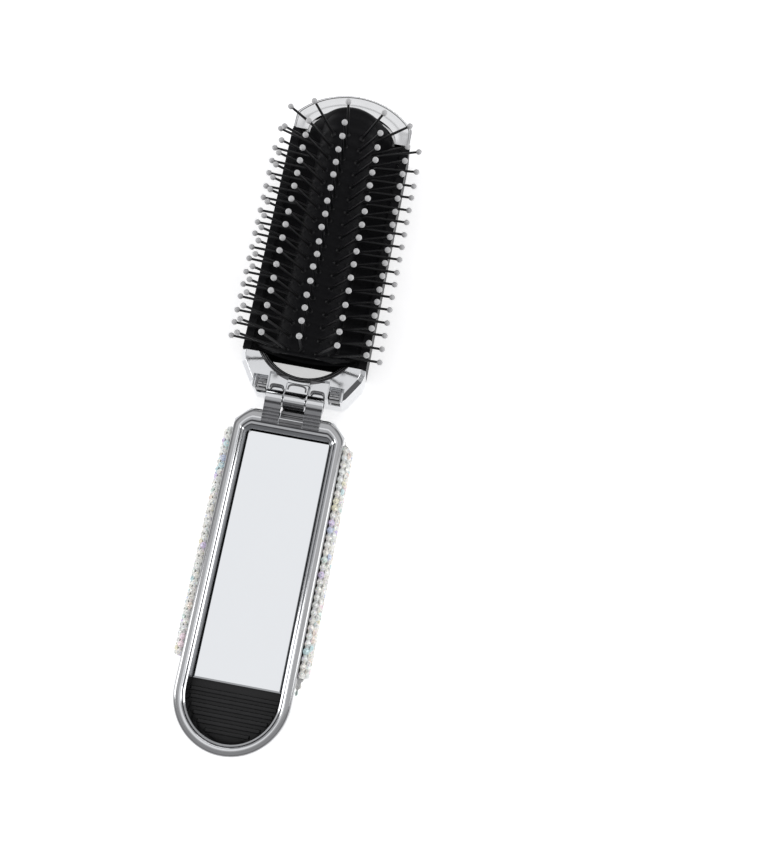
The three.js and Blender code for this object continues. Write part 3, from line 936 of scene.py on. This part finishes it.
def make_pocket_details(shade_plating):
    """Uneven cross ribs, a side ledge and a boss on the floor of each pocket beside the knuckles, in the
    darker plating that paints shade into the pockets.
    """
    inner, outer = POCKET[0] * MM, POCKET[1] * MM
    floor = SHOULDER_HIGH.z - POCKET_DEPTH - FLOOR_SINK
    boss = [(height * MM, radius * MM) for height, radius in BOSS_PROFILE]
    for word, side in (("left", -1), ("right", 1)):
        vertices, faces = [], []
        xs = sorted((side * (inner + RIB_INSET), side * (outer - RIB_ROOM)))
        for k, (y, width) in enumerate(POCKET_RIBS):
            top = SHOULDER_HIGH.z - (RIB_DROP + RIB_LOWER * (k % 2)) * MM
            low = (xs[0], HINGE.y + y * MM - width * MM / 2, floor)
            box_into(vertices, faces, low, (xs[1], low[1] + width * MM, top), RIB_TAPER)
        ledge = sorted(side * (outer - inward) for inward in LEDGE_ACROSS)
        near, far = (HINGE.y + distance for distance in LEDGE_ALONG)
        high = (ledge[1], far, SHOULDER_HIGH.z - LEDGE_DROP)
        box_into(vertices, faces, (ledge[0], near, floor), high, LEDGE_TAPER)
        base = (side * (inner + BOSS_PLACE[0]), HINGE.y + BOSS_PLACE[1], floor)
        lathe_into(vertices, faces, base, (0, 0, 1), boss, BOSS_SIDES)
        detail = add_piece(f"pocket_ribs_{word}", vertices, faces, shade_plating, angle=35)
        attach(detail, "head")


# Section of a dark arched rim above a knuckle: outward distance and height above the shoulder, in mm.
ARCH_SECTION = [(0.0, -0.6), (0.0, 0.02), (0.12, 0.1), (0.34, 0.1), (0.46, 0.02), (0.46, -0.6)]
ARCH_WIDTH = 0.46 * MM
# Name, the knuckle it stands round, how far it reaches past its foot and how high it is lifted, in mm.
KNUCKLE_ARCHES = (
    ("knuckle_arch_left", "hinge_knuckle_left", 0.9, 0.0),
    ("knuckle_arch_right", "hinge_knuckle_right", 0.9, 0.0),
    ("knuckle_arch_middle", "head_knuckle", 1.4, 0.95),
)
ARCH_FOOT, ARCH_INSET = 2.95 * MM, 0.35 * MM
ARCH_ROUNDNESS, ARCH_STEPS = 0.55, 18


def make_knuckle_arches(dark):
    """Dark arched rims in the shoulder's edge, one round the end of each knuckle: dark pieces that stand
    in for the shaded recess there, painted shade.
    """
    foot = HINGE.y + ARCH_FOOT
    for name, node, rise, lift in KNUCKLE_ARCHES:
        low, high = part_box(node)
        middle_x, half = (low.x + high.x) / 2, (high.x - low.x) / 2 - ARCH_INSET
        rings = []
        for i in range(ARCH_STEPS + 1):
            turn = math.pi * (1 - i / ARCH_STEPS)
            x = math.copysign(abs(math.cos(turn)) ** ARCH_ROUNDNESS, math.cos(turn))
            y = math.sin(turn) ** ARCH_ROUNDNESS if 0 < i < ARCH_STEPS else 0.0
            ring = []
            for outward, height in ARCH_SECTION:
                ring.append((
                    middle_x + x * (half - ARCH_WIDTH + outward * MM), foot + y * (rise + outward) * MM,
                    SHOULDER_HIGH.z + (height + lift) * MM,
                ))
            rings.append(ring)
        arch = loft(name, rings, dark, angle=35)
        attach(arch, "head")


# Steps of the dark trim inside the crescent opening: distance inwards and height from the face, in mm.
TRIM_SECTION = [
    (-0.1, -0.25), (0.12, -0.12), (0.55, -0.2), (0.62, -0.5), (0.78, -0.5), (0.84, -0.35), (1.1, -0.45),
    (1.17, -0.8), (1.3, -0.8), (1.36, -0.7), (1.62, -0.95), (1.7, -1.3), (1.7, -3.1), (-0.1, -3.1),
]
# Half the trim's width, its deepest point from the hinge and its gap to the shoulder's far end.
TRIM_HALF, TRIM_DEEP, TRIM_GAP = 12.7 * MM, 5.95 * MM, 0.1 * MM
LEAF_ROOM = 0.3 * MM


def make_crescent_trim(dark):
    """Stepped trim on an arc along the crescent opening, cut away where the leaves fold on to it."""
    half = TRIM_HALF
    end = SHOULDER_HIGH.y - TRIM_GAP
    deep = HINGE.y + TRIM_DEEP
    sag = end - deep
    radius = (half * half + sag * sag) / (2 * sag)
    centre = Vector((0, deep + radius))
    reach = math.asin(half / radius)
    rings = []
    steps = 48
    for i in range(steps + 1):
        turn = -math.pi / 2 - reach + 2 * reach * i / steps
        out = Vector((math.cos(turn), math.sin(turn)))
        ring = []
        for inward, height in TRIM_SECTION:
            place = centre + out * (radius - inward * MM)
            ring.append((place.x, min(place.y, end), SHOULDER_HIGH.z + height * MM))
        rings.append(ring)
    trim = loft("crescent_trim", rings, dark, angle=25)
    for node in ("hinge_knuckle_left", "hinge_knuckle_right"):
        low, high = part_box(node)
        cut_box(
            trim, (low.x - LEAF_ROOM, HINGE.y, SHOULDER_HIGH.z - LEAF_RELIEF),
            (high.x + LEAF_ROOM, 2 * HINGE.y - low.y + LEAF_ROOM, CUT_TOP),
        )
    shade(trim.data, 25)
    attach(trim, "head")


def make_head_frame(plating, black, shade_plating, gunmetal_and_shade):
    make_crescent_trim(gunmetal_and_shade)
    make_shoulder(plating)
    make_pocket_details(shade_plating)
    make_knuckle_arches(gunmetal_and_shade)
    finish_cad("head_body", black, 0.3)
    finish_cad("head_back_cover", black, 0.15)


# ---------- bristle pad ----------
PIN_PITCH = 3.97 * MM
PIN_LENGTH = 12.8 * MM
PIN_LEAN = math.radians(15)
LEAN_FADE = 0.2
# By distance from the middle row: how many pins, and how far the first one is from the hinge.
PIN_COUNTS = (18, 18, 18, 17)
PIN_FIRSTS = (12.4 * MM, 12.4 * MM, 13.4 * MM, 15.4 * MM)
BALL_R = 0.86 * MM
ARCH_STEP = math.radians(28.5)
ROW_PITCH = 4.2 * MM
PAD_HALF_THICK = 0.5 * MM
ARCH_INRADIUS = ROW_PITCH / 2 / math.tan(ARCH_STEP / 2)
SKIN_OUTER = ARCH_INRADIUS + 0.62 * MM
SKIN_INNER = ARCH_INRADIUS - 0.45 * MM
# Height of the middle row's flat, and a point on the arch's axis, level with the hinge along Y.
ARCH_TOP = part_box("bristle_row_4")[1].z - PIN_LENGTH - BALL_R - PAD_HALF_THICK
ARCH_AXIS = Vector((0, HINGE.y, ARCH_TOP - ARCH_INRADIUS))
# How far the arch's feet stand past the outer rows, as a share of a step.
EDGE_SHARE = 0.46
FOOT_TURN = (3 + EDGE_SHARE) * ARCH_STEP
# Ends of the pad: distance from the hinge at the middle row, and the change at the outer rows, in mm.
PAD_NEAR, PAD_FAR = (11.0, 2.4), (87.9, -5.2)


def on_arch(turn, radius, y):
    """Point at a turn and a distance from the arch's axis, y from the hinge."""
    return Vector((radius * math.sin(turn), ARCH_AXIS.y + y, ARCH_AXIS.z + radius * math.cos(turn)))


def row_turn(row):
    return (row - MIDDLE_ROW) * ARCH_STEP


def pad_near(turn):
    return (PAD_NEAR[0] + PAD_NEAR[1] * (turn / (3 * ARCH_STEP)) ** 2) * MM


def pad_far(turn):
    return (PAD_FAR[0] + PAD_FAR[1] * (turn / (3 * ARCH_STEP)) ** 2) * MM


def skin_patch(name, turn_from, turn_to, rubber):
    """Smooth piece of the arched pad between two turns, closed all round."""
    across, lengthwise = 8, 4
    rings = []
    for j in range(lengthwise + 1):
        outer, inner = [], []
        for i in range(across + 1):
            turn = turn_from + (turn_to - turn_from) * i / across
            y = pad_near(turn) + (pad_far(turn) - pad_near(turn)) * j / lengthwise
            outer.append(on_arch(turn, SKIN_OUTER, y))
            inner.append(on_arch(turn, SKIN_INNER, y))
        rings.append(outer + inner[::-1])
    return loft(name, rings, rubber, angle=50)


def make_pad_skin(rubber):
    for row in range(1, ROWS):
        patch = skin_patch(f"pad_skin_{row}_{row + 1}", row_turn(row), row_turn(row + 1), rubber)
        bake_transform(patch)
    for row, side in ((1, -1), (ROWS, 1)):
        edge = row_turn(row) + side * EDGE_SHARE * ARCH_STEP
        patch = skin_patch(f"pad_edge_{row}", min(row_turn(row), edge), max(row_turn(row), edge), rubber)
        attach(patch, f"row_{row}")


def lathe_into(vertices, faces, base, direction, profile, sides):
    """Adds a round piece along a direction; the profile is (distance along, radius)."""
    along = Vector(direction).normalized()
    side = along.orthogonal().normalized()
    up = along.cross(side)
    first = len(vertices)
    for distance, radius in profile:
        for k in range(sides):
            angle = 2 * math.pi * k / sides
            ring = (side * math.cos(angle) + up * math.sin(angle)) * radius
            vertices.append(Vector(base) + along * distance + ring)
    for i in range(len(profile) - 1):
        for k in range(sides):
            m = (k + 1) % sides
            a, b = first + i * sides, first + (i + 1) * sides
            faces.append((a + k, a + m, b + m, b + k))
    faces.append(tuple(first + k for k in reversed(range(sides))))
    last = first + (len(profile) - 1) * sides
    faces.append(tuple(last + k for k in range(sides)))


# Profile of a pin's stem: distance along it and radius, in mm.
STEM_PROFILE = [
    (-0.4, 0.9), (0.12, 0.86), (0.3, 0.62), (0.6, 0.48), (1.2, 0.44), (6.0, 0.40), (12.1, 0.35),
    (12.5, 0.33),
]
STEM_SIDES = 12
# A ball's outline, from near its foot to near its top, in shares of a half turn.
BALL_FROM, BALL_SPAN = 0.06, 0.90
BALL_STEPS, BALL_SIDES = 9, 16
PIN_WOBBLE = (0.006, 0.008, 0.006)


def ball_profile():
    profile = []
    for i in range(BALL_STEPS + 1):
        turn = math.pi * (BALL_FROM + BALL_SPAN * i / BALL_STEPS)
        profile.append((PIN_LENGTH - BALL_R * math.cos(turn), BALL_R * math.sin(turn)))
    return profile


def make_pins(stem_black, pearl):
    stem = [(distance * MM, radius * MM) for distance, radius in STEM_PROFILE]
    ball = ball_profile()
    for row in range(1, ROWS + 1):
        turn = row_turn(row)
        pins = PIN_COUNTS[abs(row - MIDDLE_ROW)]
        first = PIN_FIRSTS[abs(row - MIDDLE_ROW)]
        stems, balls = ([], []), ([], [])
        for i in range(pins):
            lean = PIN_LEAN * LEAN_FADE ** (pins - 1 - i)
            base = on_arch(turn, ARCH_INRADIUS + PAD_HALF_THICK, first + i * PIN_PITCH)
            upright = Vector((math.sin(turn), 0, math.cos(turn)))
            wobble = Vector([random.gauss(0, spread) for spread in PIN_WOBBLE])
            direction = upright * math.cos(lean) + Vector((0, 1, 0)) * math.sin(lean) + wobble
            lathe_into(*stems, base, direction, stem, STEM_SIDES)
            lathe_into(*balls, base, direction, ball, BALL_SIDES)
        stem_piece = add_piece(f"row_{row}_pins", *stems, stem_black, angle=60)
        ball_piece = add_piece(f"row_{row}_tips", *balls, pearl, angle=80)
        for piece in (stem_piece, ball_piece):
            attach(piece, f"row_{row}")
            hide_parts(f"bristle_row_{row}")


# The soft skin around the arch.
WEB_LOW, WEB_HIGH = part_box("pad_web_right")
SKIN_THICK = 0.5 * MM


def sink_with_pad(piece):
    """Thickens a soft skin and attaches it to the head."""
    wall = piece.modifiers.new("wall", "SOLIDIFY")
    wall.thickness = SKIN_THICK
    wall.offset = -1
    apply_modifiers(piece)
    tidy_normals(piece.data)
    shade(piece.data, 45)
    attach(piece, "head")
    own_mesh(piece)


def grid_piece(name, rows_of_points, material, flip=False):
    count = len(rows_of_points[0])
    vertices = [p for row in rows_of_points for p in row]
    faces = []
    for i in range(len(rows_of_points) - 1):
        for k in range(count - 1):
            a, b = i * count + k, (i + 1) * count + k
            face = (a, a + 1, b + 1, b)
            faces.append(face[::-1] if flip else face)
    return add_mesh(name, vertices, faces, material)


# From the foot of the arch to the rail: share of the way, and height above the skin's low line in mm.
WEB_PROFILE = [
    (0.0, 0.55), (0.05, 0.2), (0.14, 0.0), (0.45, 0.1), (0.85, 0.3), (0.93, 0.5), (0.97, 0.7), (1.0, 0.72),
]
WEB_OVERLAP, WEB_DROP = 0.2 * MM, 0.25 * MM
RIB_SWELL, RIBS_UP_TO = 0.12 * MM, 0.9


def make_webs(rubber):
    """Ribbed skin between each foot of the arch and its rail."""
    foot = on_arch(FOOT_TURN, SKIN_OUTER, 0)
    rail = WEB_HIGH.x + WEB_OVERLAP
    length = WEB_HIGH.y - WEB_LOW.y
    spans = 2 * int(length / PIN_PITCH)
    for word, side in (("left", -1), ("right", 1)):
        rows_of_points = []
        for j in range(spans + 1):
            y = WEB_LOW.y - WEB_OVERLAP + (length + 2 * WEB_OVERLAP) * j / spans
            swell = RIB_SWELL * (j % 2)
            points = []
            for share, rise in WEB_PROFILE:
                x = side * (foot.x + (rail - foot.x) * share)
                points.append((x, y, WEB_HIGH.z - WEB_DROP + rise * MM + swell * (share < RIBS_UP_TO)))
            rows_of_points.append(points)
        web = grid_piece(f"pad_skirt_{word}", rows_of_points, rubber, flip=side < 0)
        sink_with_pad(web)
        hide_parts(f"pad_web_{word}")


LIP_Z = BODY_HIGH.z - 0.35 * MM
# The lip's width in mm, and its profile from its inner side to the frame: share of its width and drop.
LIP_WIDTH = 0.9
LIP_PROFILE = ((0.35, 0.0), (0.92, 0.0), (1.0, 0.12))
TUCK = 0.05 * MM
NEAR_BULGE = 2.2 * MM
NEAR_EDGE = HINGE.y + 11.9 * MM
TONGUE_CLEARANCE = 0.5 * MM


def make_pad_end(name, rubber, arch_y, foot_point, flip):
    """Domed end of the pad, from the end of the arch down to a flat lip at the frame."""
    across, down = 48, 10
    middle_y = (WEB_LOW.y + WEB_HIGH.y) / 2
    rows_of_points = [[] for _ in range(down + 1 + len(LIP_PROFILE))]
    for i in range(across + 1):
        u = 2 * i / across - 1
        turn = u * (3 + EDGE_SHARE) * ARCH_STEP
        top = on_arch(turn, SKIN_OUTER - TUCK, arch_y(turn))
        foot = foot_point(u)
        inward = Vector((0, middle_y, foot.z)) - foot
        lip = foot + inward.normalized() * LIP_WIDTH * MM
        for k in range(down + 1):
            a = math.pi / 2 * k / down
            rows_of_points[k].append((
                top.x + (lip.x - top.x) * math.sin(a), top.y + (lip.y - top.y) * math.sin(a),
                top.z + (lip.z - top.z) * (1 - math.cos(a)),
            ))
        for k, (share, drop) in enumerate(LIP_PROFILE, start=down + 1):
            place = lip.lerp(foot, share)
            rows_of_points[k].append((place.x, place.y, place.z - drop * MM))
    sink_with_pad(grid_piece(name, rows_of_points, rubber, flip))


def near_foot(u):
    """Edge of the near lip, from the left rail (-1) to the right rail (1)."""
    x = WEB_HIGH.x * math.sin(u * math.pi / 2)
    return Vector((x, NEAR_EDGE + NEAR_BULGE * (x / WEB_HIGH.x) ** 2, LIP_Z))


def far_foot(u):
    """Edge of the far lip, inside the end cap's tongue opening, from left (-1) to right (1)."""
    angle = math.pi / 2 * (1 - u)
    half, rise = TONGUE_HALF - TONGUE_CLEARANCE, TONGUE_RISE - TONGUE_CLEARANCE
    return Vector((half * math.cos(angle), CAP_LOW.y + rise * math.sin(angle), LIP_Z))


def make_pad_ends(rubber):
    make_pad_end("pad_end_near", rubber, pad_near, near_foot, flip=True)
    make_pad_end("pad_end_far", rubber, pad_far, far_foot, flip=False)


# ---------- everything ----------
plating = plated("plating", (0.76, 0.77, 0.785), 0.10)
# Lighter copy of the plating for the end cap: painted light.
cap_lit_plating = plated("cap_lit_plating", (0.87, 0.875, 0.88), 0.12)
steel = surface("steel", (0.62, 0.63, 0.64), 0.28, metallic=1.0, grain=500)
black = hard_black("satin_black", (0.0065, 0.0065, 0.0075), 0.42, 1.22)
# Darker copy of the plating for faces that should look shaded on the bezel, the knuckle leaves, the head's
# knuckle and the pockets: painted shade.
shade_plating = plated("painted_shade_plating", (0.22, 0.222, 0.23), 0.18, bump=0.03, spread=0.05)
# Mid grey copy of the plating for the bezel's outer rounding: painted shade.
rim_shade = plated("rim_painted_shade", (0.45, 0.453, 0.46), 0.14, spread=0.03)
# Dark plating for the crescent trim and the hinge plates; on the arched rims round the knuckles it is
# painted shade.
gunmetal_and_shade = plated("gunmetal_and_shade", (0.17, 0.17, 0.175), 0.25, grain=300, bump=0.05, spread=0.2)
glass = plated("silvered_glass", (0.93, 0.95, 0.97), 0.02, grain=40, bump=0.0, spread=0.005)
tape = surface("foam_tape", (0.82, 0.79, 0.68), 0.8, grain=800, bump=0.4)
liner_black = hard_black("liner_black", (0.016, 0.016, 0.017), 0.40, 1.4)
cloth = surface("sheet_backing", (0.78, 0.78, 0.77), 0.5, metallic=0.1, grain=600, bump=0.2)
stem_black = surface("pin_black", (0.008, 0.008, 0.009), 0.35, grain=900, bump=0.05, spread=0.15, ior=1.4)
pearl = surface("pearl_tips", (0.64, 0.64, 0.645), 0.3, grain=700, bump=0.04, spread=0.04, coat=0.4)
rubber = ribbed_rubber()
crystal = stone_material()

make_camera()
make_stage()
finish_cad("handle_shell", plating, 0.3)
make_bezel(plating, rim_shade, shade_plating)
make_handle_insides(liner_black, glass, tape)
make_stones(crystal, cloth)
make_hinge(plating, shade_plating, gunmetal_and_shade, steel)
make_end_cap(cap_lit_plating)
make_head_frame(plating, black, shade_plating, gunmetal_and_shade)
make_pad_skin(rubber)
make_pins(stem_black, pearl)
make_webs(rubber)
make_pad_ends(rubber)
